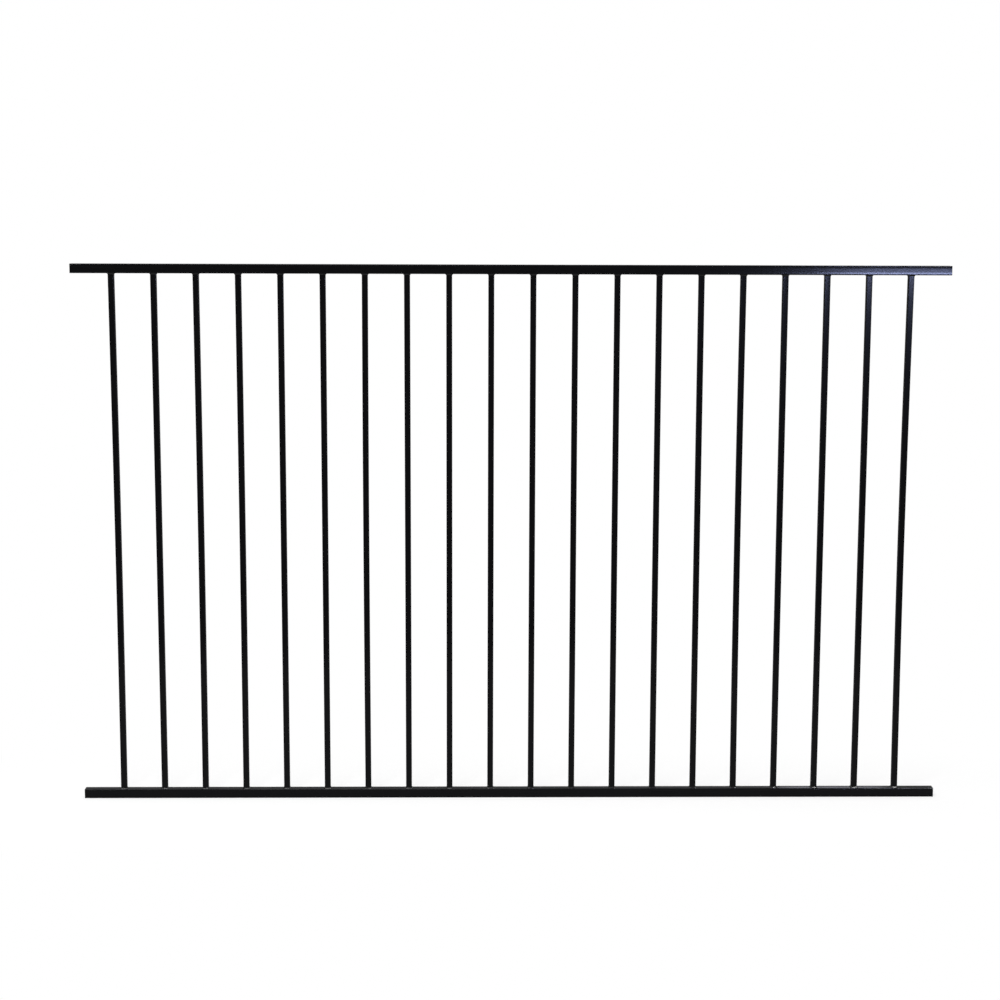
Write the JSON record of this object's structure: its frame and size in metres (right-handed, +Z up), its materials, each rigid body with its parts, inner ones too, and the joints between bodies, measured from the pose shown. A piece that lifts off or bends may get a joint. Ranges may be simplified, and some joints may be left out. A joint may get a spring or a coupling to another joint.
{
  "type": "steel fence panel",
  "caption": "Welded steel fence panel: square-tube pickets butted between a plain top rail and bottom rail, fillet welded at each end, for hanging between posts on rail-end brackets",
  "frame": {"origin": "on the left end face of the bottom rail, at that face's lower edge, midway through the panel's thickness", "axes": "+X runs along the rails from the left end to the right end, +Y runs through the thickness from the viewed front to the back, +Z runs up the pickets"},
  "size_m": [2.3622, 0.0254, 1.4732],
  "materials": {
    "black_powder_coat": "smooth semi-gloss black powder coat on galvanised steel tube"
  },
  "bodies": {
    "root": {"bottom_rail": "black_powder_coat", "top_rail": "black_powder_coat", "bottom_welds": "black_powder_coat", "top_welds": "black_powder_coat", "picket_01": "black_powder_coat", "picket_02": "black_powder_coat", "picket_03": "black_powder_coat", "picket_04": "black_powder_coat", "picket_05": "black_powder_coat", "picket_06": "black_powder_coat", "picket_07": "black_powder_coat", "picket_08": "black_powder_coat", "picket_09": "black_powder_coat", "picket_10": "black_powder_coat", "picket_11": "black_powder_coat", "picket_12": "black_powder_coat", "picket_13": "black_powder_coat", "picket_14": "black_powder_coat", "picket_15": "black_powder_coat", "picket_16": "black_powder_coat", "picket_17": "black_powder_coat", "picket_18": "black_powder_coat", "picket_19": "black_powder_coat", "picket_20": "black_powder_coat"}
  },
  "joints": []
}
